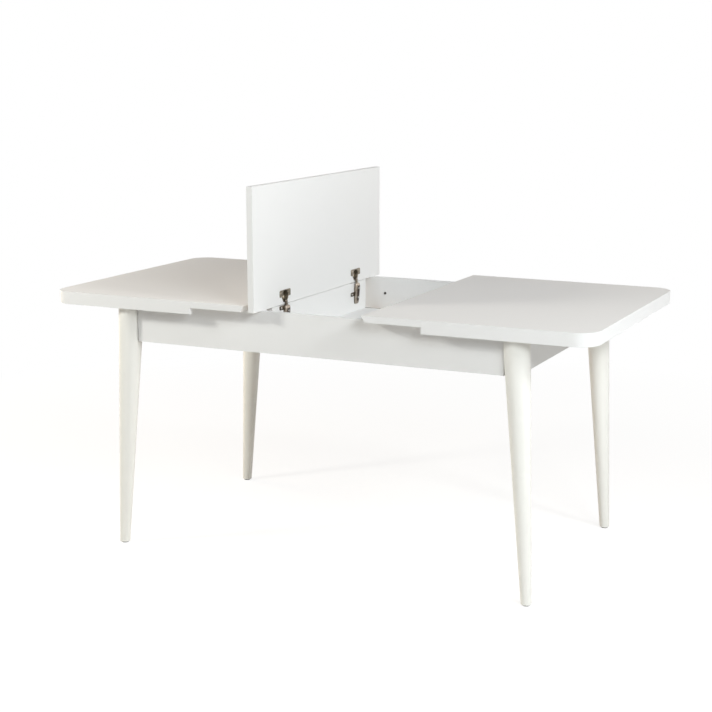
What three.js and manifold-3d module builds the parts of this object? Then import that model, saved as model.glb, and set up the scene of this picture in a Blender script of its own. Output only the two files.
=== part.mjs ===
// Extendable dining table, pulled open, with its middle leaf standing upright on two cup hinges.
// Millimetres, +Z up. X runs along the table, Y from the front edge (-Y) to the back edge (+Y).
// The origin is on the floor, under the middle of the opened table.
import * as THREE from 'three';
import { mergeVertices } from 'three/addons/utils/BufferGeometryUtils.js';
import Module from 'manifold-3d';

const wasm = await Module();
wasm.setup();

// Driving dimensions
const gap = 0.3; // left between pieces that touch
const board = 18; // thickness of every panel
const topHeight = 750; // floor to the eating surface
const depth = 820;
const halfLength = 640; // one half of the top, inner edge to outer end
const leftPull = 187; // from the frame's middle to the left half's inner edge
const rightPull = 169;
const frameMiddle = (leftPull - rightPull) / 2; // centres the opened table on the origin
const cornerRadius = 60;
const bevel = 11; // undercut of each half's inner edge
const stripWidth = 14; // strips that thicken the top's outer edge
const innerChamfer = 18; // across the strips' inside corners
const lap = 172; // thin part of each half, which rides over the leaf
const leafWidth = 345;

// Frame
const apronLow = 615;
const apronOuterY = 370;
const apronHalfLength = 558;
const endApronOuterX = 594;
const legTop = { x: 586, y: 358, radius: 37.2 };
const legFoot = { x: 631, y: 365, radius: 14.7 };
const flatLean = 0.028; // the legs' flats open away from the long aprons towards the floor
const flatLength = 250;
const endFlatDepth = 32; // leg's middle to the flat that takes the end apron
const glideHeight = 3;
const glideRadius = 11;
const stem = { radius: 3, hole: 3.6, top: 15 };
const boltHeight = 652;
const bolt = { radius: 4, hole: 4.5, headRadius: 7.5, head: 5, washerRadius: 11, washer: 2, reach: 6 };
const brace = { low: 622, high: 684, outerSum: 884, innerSum: 858 }; // sums of X and Y on its two faces

// Box under the leaf
const crossBoardInnerX = 155;
const crossBoardHalfY = 305;
const crossBoardLow = 616;
const floorTop = 640;
const floorThickness = 10;
const bearerWidth = 30;

// Sliding gear
const railSection = { low: 704, high: 716, depth: 13.4 };
const railSpan = [195, 547];
const runnerSpan = [5, 365]; // measured from the half's inner edge
const runnerSection = { low: 690, high: 730, inner: 311, outer: 349.5 };
const pinPlaces = [70, 300]; // measured from the half's inner edge
const pinY = 324;
const pinRadius = 5;
const pinLow = 684;
const pinSocket = 10;
const pinSlack = 0.4; // between a pin and its bore in the runner
const railSlack = 0.6;

// A dark pan-head screw in the back apron's inner face, seen from the box
const apronScrew = { x: -108, z: 682, headRadius: 4, headHeight: 2.4, shankRadius: 2, shankLength: 13 };

// Cup hinges
const hingeY = 230; // either side of the middle
const axisDepth = 11; // pivot axis behind the leaf's right face, and above its lower edge
const cup = { radius: 17.2, wall: 0.8, depth: 14.6, lip: 5.4, rim: 1 };
const pin = { radius: 1.2, halfLength: 9.7, hole: 1.5 };
const knuckle = { radius: 2.2, halfLength: 6.5 };
const flange = { width: 64, height: 20, thickness: 1.2, rise: 8.4, corner: 4 };
const hingeBody = { low: 664, high: 729.5, off: 2.5, tail: 3.5, heel: 6.5, thickness: 10.5, halfWidth: 10.5 };
const hingeNeck = { low: 720, inner: 13.5, outer: 17.5, halfWidth: 5.8 }; // measured from the pivot axis
const plateSpine = { z: 690, width: 20, height: 52, corner: 3 };
const plateWings = { z: 699, width: 68, height: 18, corner: 5 };
const plateThickness = 1.9;

// Levels and places that follow
const underside = topHeight - board; // of both halves and of the lowered leaf
const frameTop = underside - gap;
const apronInnerY = apronOuterY - board;
const endApronInnerX = endApronOuterX - board;
const legFlatX = apronHalfLength + gap;
const endFlatY = legTop.y - endFlatDepth;
const endApronHalfY = endFlatY - gap;
const leafFaceX = -crossBoardInnerX; // the leaf's right face when it stands
const axisX = leafFaceX - axisDepth;
const axisZ = underside + axisDepth;
const cupZ = underside + cup.lip + cup.radius;

// Finishes
function finish(color, roughness, metalness = 0) {
  return new THREE.MeshStandardMaterial({ color, roughness, metalness });
}

const whiteBoard = finish(0xeeeeec, 0.45);
const ivoryLacquer = finish(0xeceae2, 0.4);
const bareBeech = finish(0xc9a877, 0.6);
const nickel = finish(0x8a7f72, 0.35, 1);
const steel = finish(0x9a9a98, 0.4, 1);
const blackNylon = finish(0x2a2a2a, 0.6);

// A three.js geometry as a solid that can be cut or joined.
function solid(geometry) {
  const bare = geometry.clone();
  bare.deleteAttribute('normal');
  bare.deleteAttribute('uv');
  const merged = mergeVertices(bare, 1e-4);
  const vertProperties = new Float32Array(merged.attributes.position.array);
  const triVerts = new Uint32Array(merged.index.array);
  return new wasm.Manifold(new wasm.Mesh({ numProp: 3, vertProperties, triVerts }));
}

// A cut or joined solid as a geometry again.
function shape(manifold) {
  const mesh = manifold.getMesh();
  const geometry = new THREE.BufferGeometry();
  geometry.setAttribute('position', new THREE.BufferAttribute(mesh.vertProperties.slice(), 3));
  geometry.setIndex(new THREE.BufferAttribute(mesh.triVerts.slice(), 1));
  geometry.computeVertexNormals();
  return geometry;
}

// A box between two corners, given as its span along each axis.
function block([x0, x1], [y0, y1], [z0, z1]) {
  const geometry = new THREE.BoxGeometry(Math.abs(x1 - x0), Math.abs(y1 - y0), Math.abs(z1 - z0));
  return geometry.translate((x0 + x1) / 2, (y0 + y1) / 2, (z0 + z1) / 2);
}

// A flat outline, drawn in X and Y, standing between two heights.
function prism(outline, heights) {
  const drawn = outline instanceof THREE.Shape ? outline : polygon(outline);
  const [low, high] = [Math.min(...heights), Math.max(...heights)];
  const settings = { depth: high - low, bevelEnabled: false, curveSegments: 12 };
  return new THREE.ExtrudeGeometry(drawn, settings).translate(0, 0, low);
}

// An outline drawn in Y and Z, running between two X places.
function plateAlongX(outline, [x0, x1]) {
  const turn = new THREE.Matrix4();
  turn.makeBasis(new THREE.Vector3(0, 1, 0), new THREE.Vector3(0, 0, 1), new THREE.Vector3(1, 0, 0));
  return prism(outline, [x0, x1]).applyMatrix4(turn);
}

// An outline drawn in Z and X, running between two Y places.
function plateAlongY(outline, [y0, y1]) {
  const turn = new THREE.Matrix4();
  turn.makeBasis(new THREE.Vector3(0, 0, 1), new THREE.Vector3(1, 0, 0), new THREE.Vector3(0, 1, 0));
  return prism(outline, [y0, y1]).applyMatrix4(turn);
}

function polygon(points) {
  return new THREE.Shape(points.map(([x, y]) => new THREE.Vector2(x, y)));
}

// A straight round rod between two points.
function rod(radius, from, to, sides = 20) {
  const start = new THREE.Vector3(...from);
  const along = new THREE.Vector3(...to).sub(start);
  const geometry = new THREE.CylinderGeometry(radius, radius, along.length(), sides);
  const turn = new THREE.Quaternion();
  turn.setFromUnitVectors(new THREE.Vector3(0, 1, 0), along.clone().normalize());
  const middle = start.addScaledVector(along, 0.5);
  return geometry.applyQuaternion(turn).translate(middle.x, middle.y, middle.z);
}

// A turned piece standing on Z, from its profile of radius and height.
function turned(profile, sides) {
  const points = profile.map(([radius, height]) => new THREE.Vector2(radius, height));
  return new THREE.LatheGeometry(points, sides).rotateX(Math.PI / 2);
}

function add(group, name, geometry, material) {
  const mesh = new THREE.Mesh(geometry, material);
  mesh.name = name;
  group.add(mesh);
}

// Sides of the table
const endName = (x) => (x < 0 ? 'left' : 'right');
const edgeName = (y) => (y < 0 ? 'front' : 'back');
const corners = [[-1, -1], [1, -1], [-1, 1], [1, 1]];
const mirrored = (side, span) => span.map((place) => side * place);
const between = (halfSpan) => [-halfSpan, halfSpan];

// Long and end aprons: upright boards that the legs carry.
function aprons(frame) {
  const height = [apronLow, frameTop];
  for (const side of [-1, 1]) {
    const y = mirrored(side, [apronInnerY, apronOuterY]);
    const long = hollowedForLeaf(block(between(apronHalfLength), y, height));
    add(frame, `${edgeName(side)}_apron`, shape(side > 0 ? drilledForScrew(long) : long), whiteBoard);
    const x = mirrored(side, [endApronInnerX, endApronOuterX]);
    add(frame, `${endName(side)}_apron`, block(x, between(endApronHalfY), height), whiteBoard);
  }
}

function drilledForScrew(apron) {
  const { x, z, shankRadius, shankLength } = apronScrew;
  const hole = rod(shankRadius + 0.4, [x, apronInnerY - 1, z], [x, apronInnerY + shankLength + 1, z], 12);
  return apron.subtract(solid(hole));
}

function addApronScrew(frame) {
  const { x, z, headRadius, headHeight, shankRadius, shankLength } = apronScrew;
  const face = apronInnerY - gap;
  const head = rod(headRadius, [x, face - headHeight, z], [x, face, z], 16);
  const shank = rod(shankRadius, [x, face - headHeight / 2, z], [x, apronInnerY + shankLength, z], 12);
  add(frame, 'back_apron_screw', shape(solid(head).add(solid(shank))), steel);
}

// The leg's centre at a height: it splays outwards towards the floor.
function legCentre([sx, sy], height) {
  const down = (frameTop - height) / frameTop;
  const x = legTop.x + (legFoot.x - legTop.x) * down;
  const y = legTop.y + (legFoot.y - legTop.y) * down;
  return [sx * x, sy * y];
}

// The diagonal line of a corner's bolt, from its head to its tip inside the leg.
function boltLine(corner) {
  const [sx, sy] = corner;
  const [x, y] = legCentre(corner, boltHeight);
  const at = (inwards) => [sx * (Math.abs(x) - inwards), sy * (Math.abs(y) - inwards), boltHeight];
  const seat = (Math.abs(x) + Math.abs(y) - brace.innerSum) / 2 + gap;
  const washer = bolt.washer / Math.SQRT2;
  const head = bolt.head / Math.SQRT2;
  return { top: at(seat + washer + head), head: at(seat + washer), washer: at(seat), tip: at(bolt.reach) };
}

// Round tapered leg, flattened where the two aprons meet it.
function leg(corner) {
  const [sx, sy] = corner;
  const low = glideHeight + gap;
  const cone = turned([[0, low], [legFoot.radius, low], [legTop.radius, frameTop], [0, frameTop]], 48);
  const [topX, topY] = legCentre(corner, frameTop);
  const [floorX, floorY] = legCentre(corner, 0);
  const splay = new THREE.Matrix4().makeTranslation(floorX, floorY, 0);
  splay.elements[8] = (topX - floorX) / frameTop;
  splay.elements[9] = (topY - floorY) / frameTop;
  cone.applyMatrix4(splay);
  const [flatLow, flatHigh] = [frameTop - flatLength, frameTop + 1];
  const lowX = sx * (legFlatX + flatLength * flatLean);
  const leaning = [[flatLow, lowX], [flatHigh, sx * legFlatX], [flatHigh, 0], [flatLow, 0]];
  const longFlat = plateAlongY(leaning, [0, sy * depth / 2]);
  const endFlat = block([0, sx * (legTop.x + halfLength)], [0, sy * endFlatY], [flatLow, flatHigh]);
  const { head } = boltLine(corner);
  const boltHole = rod(bolt.hole, head, [...legCentre(corner, boltHeight), boltHeight], 16);
  const foot = legCentre(corner, low);
  const stemHole = rod(stem.hole, [...foot, low - 1], [...foot, low + stem.top - 1], 16);
  const cuts = [longFlat, endFlat, boltHole, stemHole];
  return shape(cuts.reduce((body, cut) => body.subtract(solid(cut)), solid(cone)));
}

// Nylon glide with a stem pressed into the leg's end.
function glide(corner) {
  const [x, y] = legCentre(corner, glideHeight);
  const button = [[0, 0], [glideRadius - 1, 0], [glideRadius, 1], [glideRadius, glideHeight]];
  const spike = [[stem.radius, glideHeight], [stem.radius, stem.top], [0, stem.top]];
  return turned([...button, ...spike], 24).translate(x, y, 0);
}

// Diagonal brace behind each leg, screwed to both aprons, with the leg's bolt through it.
function cornerBrace(corner) {
  const [sx, sy] = corner;
  const { low, high, outerSum, innerSum } = brace;
  const x = endApronInnerX - gap;
  const y = apronInnerY - gap;
  const outline = [[innerSum - y, y], [outerSum - y, y], [x, outerSum - x], [x, innerSum - x]];
  const placed = outline.map(([px, py]) => [sx * px, sy * py]);
  const body = solid(prism(sx * sy > 0 ? placed.reverse() : placed, [low, high]));
  const { head, tip } = boltLine(corner);
  return shape(body.subtract(solid(rod(bolt.hole, head, tip, 16))));
}

// Hexagon-head bolt that draws the leg against the aprons.
function legBolt(corner) {
  const { top, head, washer, tip } = boltLine(corner);
  const shank = solid(rod(bolt.radius, head, tip, 16));
  const hexagon = solid(rod(bolt.headRadius, top, head, 6));
  return shape(shank.add(hexagon).add(solid(rod(bolt.washerRadius, head, washer, 20))));
}

function cornersOfFrame(frame) {
  for (const corner of corners) {
    const place = `${edgeName(corner[1])}_${endName(corner[0])}`;
    add(frame, `${place}_leg`, leg(corner), ivoryLacquer);
    add(frame, `${place}_foot_glide`, glide(corner), blackNylon);
    add(frame, `${place}_corner_brace`, cornerBrace(corner), bareBeech);
    add(frame, `${place}_leg_bolt`, legBolt(corner), steel);
  }
}

// Storage box under the leaf: two cross boards, a floor, and the bearers that carry it.
function box(frame) {
  const acrossY = between(crossBoardHalfY);
  for (const side of [-1, 1]) {
    const x = mirrored(side, [crossBoardInnerX, crossBoardInnerX + board]);
    const plain = block(x, acrossY, [crossBoardLow, frameTop]);
    add(frame, `${endName(side)}_cross_board`, side < 0 ? hingedBoard(plain) : plain, whiteBoard);
    const bearerX = mirrored(side, [crossBoardInnerX - gap - bearerWidth, crossBoardInnerX - gap]);
    const bearerZ = [crossBoardLow, floorTop - floorThickness - gap];
    const bearer = block(bearerX, between(apronInnerY - gap), bearerZ);
    add(frame, `${endName(side)}_floor_bearer`, bearer, bareBeech);
  }
  const sheet = block(between(crossBoardInnerX - gap), acrossY, [floorTop - floorThickness, floorTop]);
  add(frame, 'box_floor', sheet, whiteBoard);
}

// What lies under the leaf's hinged edge is hollowed along its top, so that the leaf's corner
// can turn past it.
function hollowedForLeaf(plain) {
  const radius = axisDepth * Math.SQRT2 + gap * 1.5;
  const swept = rod(radius, [axisX, -depth / 2, axisZ], [axisX, depth / 2, axisZ], 96);
  return solid(plain).subtract(solid(swept));
}

// The board that carries the hinges, also eased where the cups' flanges come down on its edge.
function hingedBoard(plain) {
  const pocket = { x: [leafFaceX - 3, leafFaceX + 1], z: [frameTop - 1.6, frameTop + 1] };
  const reach = flange.width / 2 + 1;
  return shape(between(hingeY).reduce((body, y) => {
    return body.subtract(solid(block(pocket.x, [y - reach, y + reach], pocket.z)));
  }, hollowedForLeaf(plain)));
}

// Beech rails on the long aprons, which the runners' grooves slide along.
function rails(frame) {
  const y = [apronInnerY - gap - railSection.depth, apronInnerY - gap];
  for (const [sx, sy] of corners) {
    const rail = block(mirrored(sx, railSpan), mirrored(sy, y), [railSection.low, railSection.high]);
    add(frame, `${edgeName(sy)}_${endName(sx)}_guide_rail`, rail, bareBeech);
  }
}

// Outline of a half top: square inner corners, round outer ones.
function halfOutline(inset, radius) {
  const y = depth / 2 - inset;
  const x = halfLength - inset;
  const outline = new THREE.Shape();
  outline.moveTo(0, -y);
  outline.lineTo(x - radius, -y);
  outline.absarc(x - radius, -y + radius, radius, -Math.PI / 2, 0);
  outline.lineTo(x, y - radius);
  outline.absarc(x - radius, y - radius, radius, 0, Math.PI / 2);
  outline.lineTo(0, y);
  outline.closePath();
  return outline;
}

// Thin panel of a half top, its inner edge undercut, with blind sockets for the lift pins.
function halfPanel() {
  const panel = solid(prism(halfOutline(0, cornerRadius), [underside, topHeight]));
  const deepest = bevel * (1 + 1 / board);
  const undercut = [[underside - 1, -1], [underside - 1, deepest], [topHeight, 0], [topHeight, -1]];
  const cutter = solid(plateAlongY(undercut, [-depth, depth]));
  return pinSites().reduce((body, [x, y]) => {
    const socket = rod(pinRadius + gap, [x, y, underside - 1], [x, y, underside + pinSocket], 16);
    return body.subtract(solid(socket));
  }, panel.subtract(cutter));
}

function pinSites() {
  return pinPlaces.flatMap((x) => [[x, -pinY], [x, pinY]]);
}

// Strips under the panel's front, end and back edges, mitred where they meet.
function edgeStrips() {
  const height = [underside - board, underside - gap];
  const whole = solid(prism(halfOutline(0, cornerRadius), height));
  const x = halfLength - stripWidth;
  const y = depth / 2 - stripWidth;
  const [bendX, bendY] = [x - innerChamfer, y - innerChamfer];
  const inside = [[-1, -y], [bendX, -y], [x, -bendY], [x, bendY], [bendX, y], [-1, y]];
  const tall = [underside - board - 1, underside];
  const thinPart = block([-1, lap], between(depth), tall);
  const ring = whole.subtract(solid(prism(inside, tall))).subtract(solid(thinPart));
  const wedge = (back) => {
    const reach = depth / 2 + 50;
    const tip = halfLength - depth / 2 + back;
    return solid(prism([[tip, 0], [tip + reach, -reach], [tip + reach, reach]], tall));
  };
  const sides = ring.subtract(wedge(-gap / 2));
  return {
    end: ring.intersect(wedge(gap / 2)),
    low: sides.subtract(solid(block([-1, halfLength + 1], [0, depth], tall))),
    high: sides.subtract(solid(block([-1, halfLength + 1], [-depth, 0], tall))),
  };
}

// Grooved beech runner: it slides on the rail, and the lift pins rise and fall in its bores.
function runner(sy) {
  const { low, high, inner, outer } = runnerSection;
  const grooveY = [apronInnerY - gap - railSection.depth - railSlack, outer + 1];
  const grooveZ = [railSection.low - railSlack, railSection.high + railSlack];
  const bar = solid(block(runnerSpan, mirrored(sy, [inner, outer]), [low, high]));
  const groove = solid(block([-1, halfLength], mirrored(sy, grooveY), grooveZ));
  return pinPlaces.reduce((body, x) => {
    const bore = rod(pinRadius + pinSlack, [x, sy * pinY, low - 1], [x, sy * pinY, high + 1], 16);
    return body.subtract(solid(bore));
  }, bar.subtract(groove));
}

// One half of the top. Both halves are the same; the left one is turned round.
function halfTop(side, pull) {
  const half = new THREE.Group();
  half.position.x = side * pull;
  half.rotation.z = side > 0 ? 0 : Math.PI;
  const name = endName(side);
  add(half, `${name}_top_panel`, shape(halfPanel()), whiteBoard);
  const strips = edgeStrips();
  add(half, `${name}_top_end_strip`, shape(strips.end), whiteBoard);
  add(half, `${name}_top_${edgeName(-side)}_strip`, shape(strips.low), whiteBoard);
  add(half, `${name}_top_${edgeName(side)}_strip`, shape(strips.high), whiteBoard);
  for (const sy of [-1, 1]) {
    const edge = edgeName(sy * side);
    add(half, `${name}_${edge}_runner`, shape(runner(sy)), bareBeech);
    pinPlaces.forEach((x, index) => {
      const pinTop = underside + pinSocket - gap;
      const lift = rod(pinRadius, [x, sy * pinY, pinLow], [x, sy * pinY, pinTop], 16);
      add(half, `${name}_${edge}_lift_pin_${index + 1}`, lift, steel);
    });
  }
  return half;
}

// The middle leaf, standing on its long edge, bored for the two hinge cups.
function leafBoard() {
  const x = [leafFaceX - board, leafFaceX];
  const plain = block(x, between(depth / 2), [underside, underside + leafWidth]);
  return between(hingeY).reduce((body, y) => {
    const bottom = [leafFaceX - cup.depth - gap, y, cupZ];
    return body.subtract(solid(rod(cup.radius + gap, bottom, [leafFaceX + 1, y, cupZ], 40)));
  }, solid(plain));
}

// Rectangle with round corners, drawn about a centre.
function roundedRectangle(cx, cy, width, height, radius) {
  const w = width / 2 - radius;
  const h = height / 2 - radius;
  const outline = new THREE.Shape();
  outline.absarc(cx + w, cy - h, radius, -Math.PI / 2, 0);
  outline.absarc(cx + w, cy + h, radius, 0, Math.PI / 2);
  outline.absarc(cx - w, cy + h, radius, Math.PI / 2, Math.PI);
  outline.absarc(cx - w, cy - h, radius, Math.PI, Math.PI * 1.5);
  outline.closePath();
  return outline;
}

// Hinge cup let into the leaf, with its rim and screw flange.
function hingeCup(y) {
  const face = leafFaceX + gap;
  const back = leafFaceX - cup.depth;
  const drum = solid(rod(cup.radius, [back, y, cupZ], [face + flange.thickness, y, cupZ], 40));
  const rim = solid(rod(cup.radius + cup.rim, [face, y, cupZ], [face + flange.thickness, y, cupZ], 40));
  const outline = roundedRectangle(y, cupZ + flange.rise, flange.width, flange.height, flange.corner);
  const wings = solid(plateAlongX(outline, [face, face + flange.thickness]));
  const hollow = solid(rod(cup.radius - cup.wall, [back + cup.wall, y, cupZ], [face + 5, y, cupZ], 40));
  return shape(drum.add(rim).add(wings).subtract(hollow));
}

// A round piece on the pivot axis, either side of a hinge's middle.
function alongAxis(radius, y, halfSpan, sides) {
  return rod(radius, [axisX, y - halfSpan, axisZ], [axisX, y + halfSpan, axisZ], sides);
}

function leafPieces() {
  const leaf = new THREE.Group();
  add(leaf, 'leaf', shape(leafBoard()), whiteBoard);
  for (const y of between(hingeY)) {
    const name = `${edgeName(y)}_hinge`;
    add(leaf, `${name}_cup`, hingeCup(y), nickel);
    add(leaf, `${name}_pin`, alongAxis(pin.radius, y, pin.halfLength, 12), steel);
  }
  return leaf;
}

// Hinge arm: a cranked neck that reaches into the cup, on a channel-shaped body.
function hingeArm(y) {
  const { low, high } = hingeBody;
  const back = leafFaceX + hingeBody.off;
  const front = back + hingeBody.thickness;
  const bodySide = [
    [low, back],
    [low, back + hingeBody.tail],
    [low + 8, back + hingeBody.heel],
    [high - 17, front],
    [high - 7, front],
    [high, front - 4],
    [high, back],
  ];
  const inner = axisX + hingeNeck.inner;
  const outer = axisX + hingeNeck.outer;
  const neckSide = [
    [axisZ - 2, axisX],
    [axisZ - 2, inner],
    [hingeNeck.low, inner],
    [hingeNeck.low, outer],
    [axisZ, outer],
    [axisZ + 2, outer - 2],
    [axisZ + 2, axisX],
  ];
  const body = solid(plateAlongY(bodySide, between(hingeBody.halfWidth).map((side) => y + side)));
  const neck = solid(plateAlongY(neckSide, between(hingeNeck.halfWidth).map((side) => y + side)));
  const roll = solid(alongAxis(knuckle.radius, y, knuckle.halfLength, 20));
  const pinHole = solid(alongAxis(pin.hole, y, hingeBody.halfWidth + 1, 16));
  return shape(body.add(neck).add(roll).subtract(pinHole));
}

// Winged mounting plate between the arm and the cross board.
function mountingPlate(y) {
  const thickness = [leafFaceX + gap, leafFaceX + gap + plateThickness];
  const cross = [plateSpine, plateWings].map(({ z, width, height, corner }) => {
    return solid(plateAlongX(roundedRectangle(y, z, width, height, corner), thickness));
  });
  return shape(cross[0].add(cross[1]));
}

function hingeArms(frame) {
  for (const y of between(hingeY)) {
    add(frame, `${edgeName(y)}_hinge_arm`, hingeArm(y), nickel);
    add(frame, `${edgeName(y)}_hinge_plate`, mountingPlate(y), nickel);
  }
}

const frame = new THREE.Group();
aprons(frame);
addApronScrew(frame);
cornersOfFrame(frame);
box(frame);
rails(frame);
hingeArms(frame);

const table = new THREE.Group();
table.position.x = frameMiddle;
table.add(frame, halfTop(-1, leftPull), halfTop(1, rightPull), leafPieces());

export default table;
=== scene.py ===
import math

import bpy
import numpy as np
from mathutils import Matrix, Vector


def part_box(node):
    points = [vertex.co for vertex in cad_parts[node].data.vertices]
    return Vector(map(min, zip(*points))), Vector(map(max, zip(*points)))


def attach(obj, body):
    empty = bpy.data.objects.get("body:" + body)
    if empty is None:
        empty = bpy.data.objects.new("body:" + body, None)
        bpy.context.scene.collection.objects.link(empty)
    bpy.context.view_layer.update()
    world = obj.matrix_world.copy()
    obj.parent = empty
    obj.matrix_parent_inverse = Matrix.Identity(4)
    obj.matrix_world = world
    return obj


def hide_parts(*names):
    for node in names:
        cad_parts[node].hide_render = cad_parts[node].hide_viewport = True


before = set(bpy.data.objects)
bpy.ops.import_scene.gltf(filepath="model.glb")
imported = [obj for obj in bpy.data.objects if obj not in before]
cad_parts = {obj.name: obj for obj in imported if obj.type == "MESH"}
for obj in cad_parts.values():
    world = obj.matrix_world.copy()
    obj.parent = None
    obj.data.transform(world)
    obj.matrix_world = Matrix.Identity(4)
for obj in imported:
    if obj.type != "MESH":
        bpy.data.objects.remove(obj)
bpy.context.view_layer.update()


# ---------------------------------------------------------------------------------------------
# Camera. A short telephoto lens, a little above the tabletop, looks at the table's front and
# right end. It is shifted sideways as the studio's camera was, and rolled by a quarter degree.
# ---------------------------------------------------------------------------------------------
view_azimuth = math.radians(23.9)
view_height = math.radians(11.46)
view_roll = math.radians(0.25)
view_distance = 4.406
looked_at = Vector((0.098, 0.0336, 0.5531))

lens = bpy.data.cameras.new("camera")
lens.lens = 75.35
lens.sensor_width = 36.0
lens.shift_x = -0.0632
lens.clip_end = 60.0
camera = bpy.data.objects.new("camera", lens)
bpy.context.scene.collection.objects.link(camera)
backwards = Vector((
    math.sin(view_azimuth) * math.cos(view_height),
    -math.cos(view_azimuth) * math.cos(view_height),
    math.sin(view_height),
))
level = (-backwards).cross(Vector((0, 0, 1))).normalized()
upright = level.cross(-backwards)
rightwards = level * math.cos(view_roll) + upright * math.sin(view_roll)
upwards = upright * math.cos(view_roll) - level * math.sin(view_roll)
stance = Matrix((rightwards, upwards, backwards)).transposed().to_4x4()
stance.translation = looked_at + backwards * view_distance
camera.matrix_world = stance
bpy.context.scene.camera = camera
bpy.context.scene.view_settings.view_transform = "Standard"


# ---------------------------------------------------------------------------------------------
# Studio. A white floor that runs out of sight keeps the table's soft shadow; to the camera and
# in reflections it and the room behind it are plain white. Soft boxes light the table.
# ---------------------------------------------------------------------------------------------
floor_half = 25
shadow_end = 1.2
fade_length = 1.6
floor_glow = 0.66
lamp_aim = Vector((0.0, 0.0, 0.7))


class Wire:
    """A node's output. Sums and comparisons written with it add the Math nodes that work them out."""

    def __init__(self, finish, socket):
        self.finish = finish
        self.socket = socket

    def maths(self, operation, *values):
        inputs = dict(enumerate(values))
        return self.finish.node("Math", {"operation": operation}, inputs)

    def __add__(self, other):
        return self.maths("ADD", self, other)

    __radd__ = __add__

    def __sub__(self, other):
        return self.maths("SUBTRACT", self, other)

    def __rsub__(self, other):
        return self.maths("SUBTRACT", other, self)

    def __mul__(self, other):
        return self.maths("MULTIPLY", self, other)

    __rmul__ = __mul__

    def __truediv__(self, other):
        return self.maths("DIVIDE", self, other)

    def __abs__(self):
        return self.maths("ABSOLUTE", self)

    def least(self, other):
        return self.maths("MINIMUM", self, other)

    def most(self, other):
        return self.maths("MAXIMUM", self, other)

    def held(self):
        """The value kept between 0 and 1."""
        return self.most(0.0).least(1.0)


class Finish:
    """A material while its nodes are laid out."""

    def __init__(self, name, world=False):
        store = bpy.data.worlds if world else bpy.data.materials
        self.made = store.new(name)
        self.made.use_nodes = True
        self.tree = self.made.node_tree
        self.tree.nodes.clear()
        self.end = self.tree.nodes.new("ShaderNodeOutput" + ("World" if world else "Material"))

    def node(self, kind, settings=None, inputs=None, output=0):
        """Adds a node: its settings go in first, then the value or wire of each named socket."""
        made = self.tree.nodes.new("ShaderNode" + kind)
        for name, value in (settings or {}).items():
            setattr(made, name, value)
        for name, value in (inputs or {}).items():
            if isinstance(value, Wire):
                self.tree.links.new(value.socket, made.inputs[name])
            else:
                made.inputs[name].default_value = value
        return Wire(self, made.outputs[output])

    def spot(self):
        """Where on the object a point is, in metres."""
        return self.node("TexCoord", output="Object")

    def place(self, axis):
        """How far along one axis a point is, in metres."""
        return self.node("SeparateXYZ", None, {"Vector": self.spot()}, axis)

    def noise(self, size, detail=2.0, turn=0.0):
        """Noise whose blotches are so many metres long along X, Y and Z, turned about Z."""
        inputs = {"Vector": self.spot(), "Rotation": (0.0, 0.0, turn), "Scale": size}
        where = self.node("Mapping", {"vector_type": "TEXTURE"}, inputs)
        return self.node("TexNoise", None, {"Vector": where, "Scale": 1.0, "Detail": detail})

    def tint(self, share, first, second):
        """One colour passing into another as the share goes from 0 to 1."""
        first, second = (part if isinstance(part, Wire) else (*part, 1.0) for part in (first, second))
        return self.node("Mix", {"data_type": "RGBA"}, {0: share, 6: first, 7: second}, 2)

    def bump(self, height, strength, distance):
        """Relief: the height's full range stands for a distance in metres, at a strength."""
        return self.node("Bump", None, {"Strength": strength, "Distance": distance, "Height": height})

    def close(self, shader):
        """Joins the last shader to the output and hands over the finished material."""
        self.tree.links.new(shader.socket, self.end.inputs["Surface"])
        return self.made

    def surface(self, colour, roughness, normal=None, **constants):
        """Closes the material with one glossy coat of paint, plastic or metal."""
        inputs = {"Base Color": colour, "Roughness": roughness}
        if normal:
            inputs["Normal"] = normal
        for name, value in constants.items():
            inputs[name.replace("_", " ").title()] = value
        return self.close(self.node("BsdfPrincipled", None, inputs))


def seen_directly(finish):
    """1 for what the camera, a mirror or a pane sees of a surface, 0 for the light that it sends on."""
    rays = ("Is Camera Ray", "Is Glossy Ray", "Is Transmission Ray")
    shares = [finish.node("LightPath", output=ray) for ray in rays]
    return (shares[0] + shares[1] + shares[2]).held()


def white_room():
    """The world: a faint warm fill light, seen directly as plain white."""
    finish = Finish("white_room", world=True)
    shown = seen_directly(finish)
    fill = finish.node("Background", None, {"Color": (1.0, 0.95, 0.88, 1.0), "Strength": 0.11})
    white = finish.node("Background", None, {"Color": (1.0, 1.0, 1.0, 1.0), "Strength": 1.0})
    return finish.close(finish.node("MixShader", None, {0: shown, 1: fill, 2: white}))


def white_floor():
    """Matt paint that glows for the camera only. Near the table the glow is partial and keeps the
    shadow; farther than shadow_end from the middle, faded in over fade_length, it is plain white."""
    finish = Finish("white_floor")
    shown = seen_directly(finish)
    away = finish.node("VectorMath", {"operation": "LENGTH"}, {0: finish.spot()}, 1)
    painted = finish.node("BsdfDiffuse", None, {"Color": (0.8, 0.79, 0.77, 1.0)})
    lit = finish.node("Emission", None, {"Color": (1.0, 1.0, 1.0, 1.0), "Strength": 1.25})
    far = ((away - shadow_end) / fade_length).held()
    clear = finish.node("Emission", None, {"Color": (1.0, 1.0, 1.0, 1.0), "Strength": 1.0})
    near = finish.node("MixShader", None, {0: floor_glow, 1: painted, 2: lit})
    seen = finish.node("MixShader", None, {0: far, 1: near, 2: clear})
    return finish.close(finish.node("MixShader", None, {0: shown, 1: painted, 2: seen}))


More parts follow.
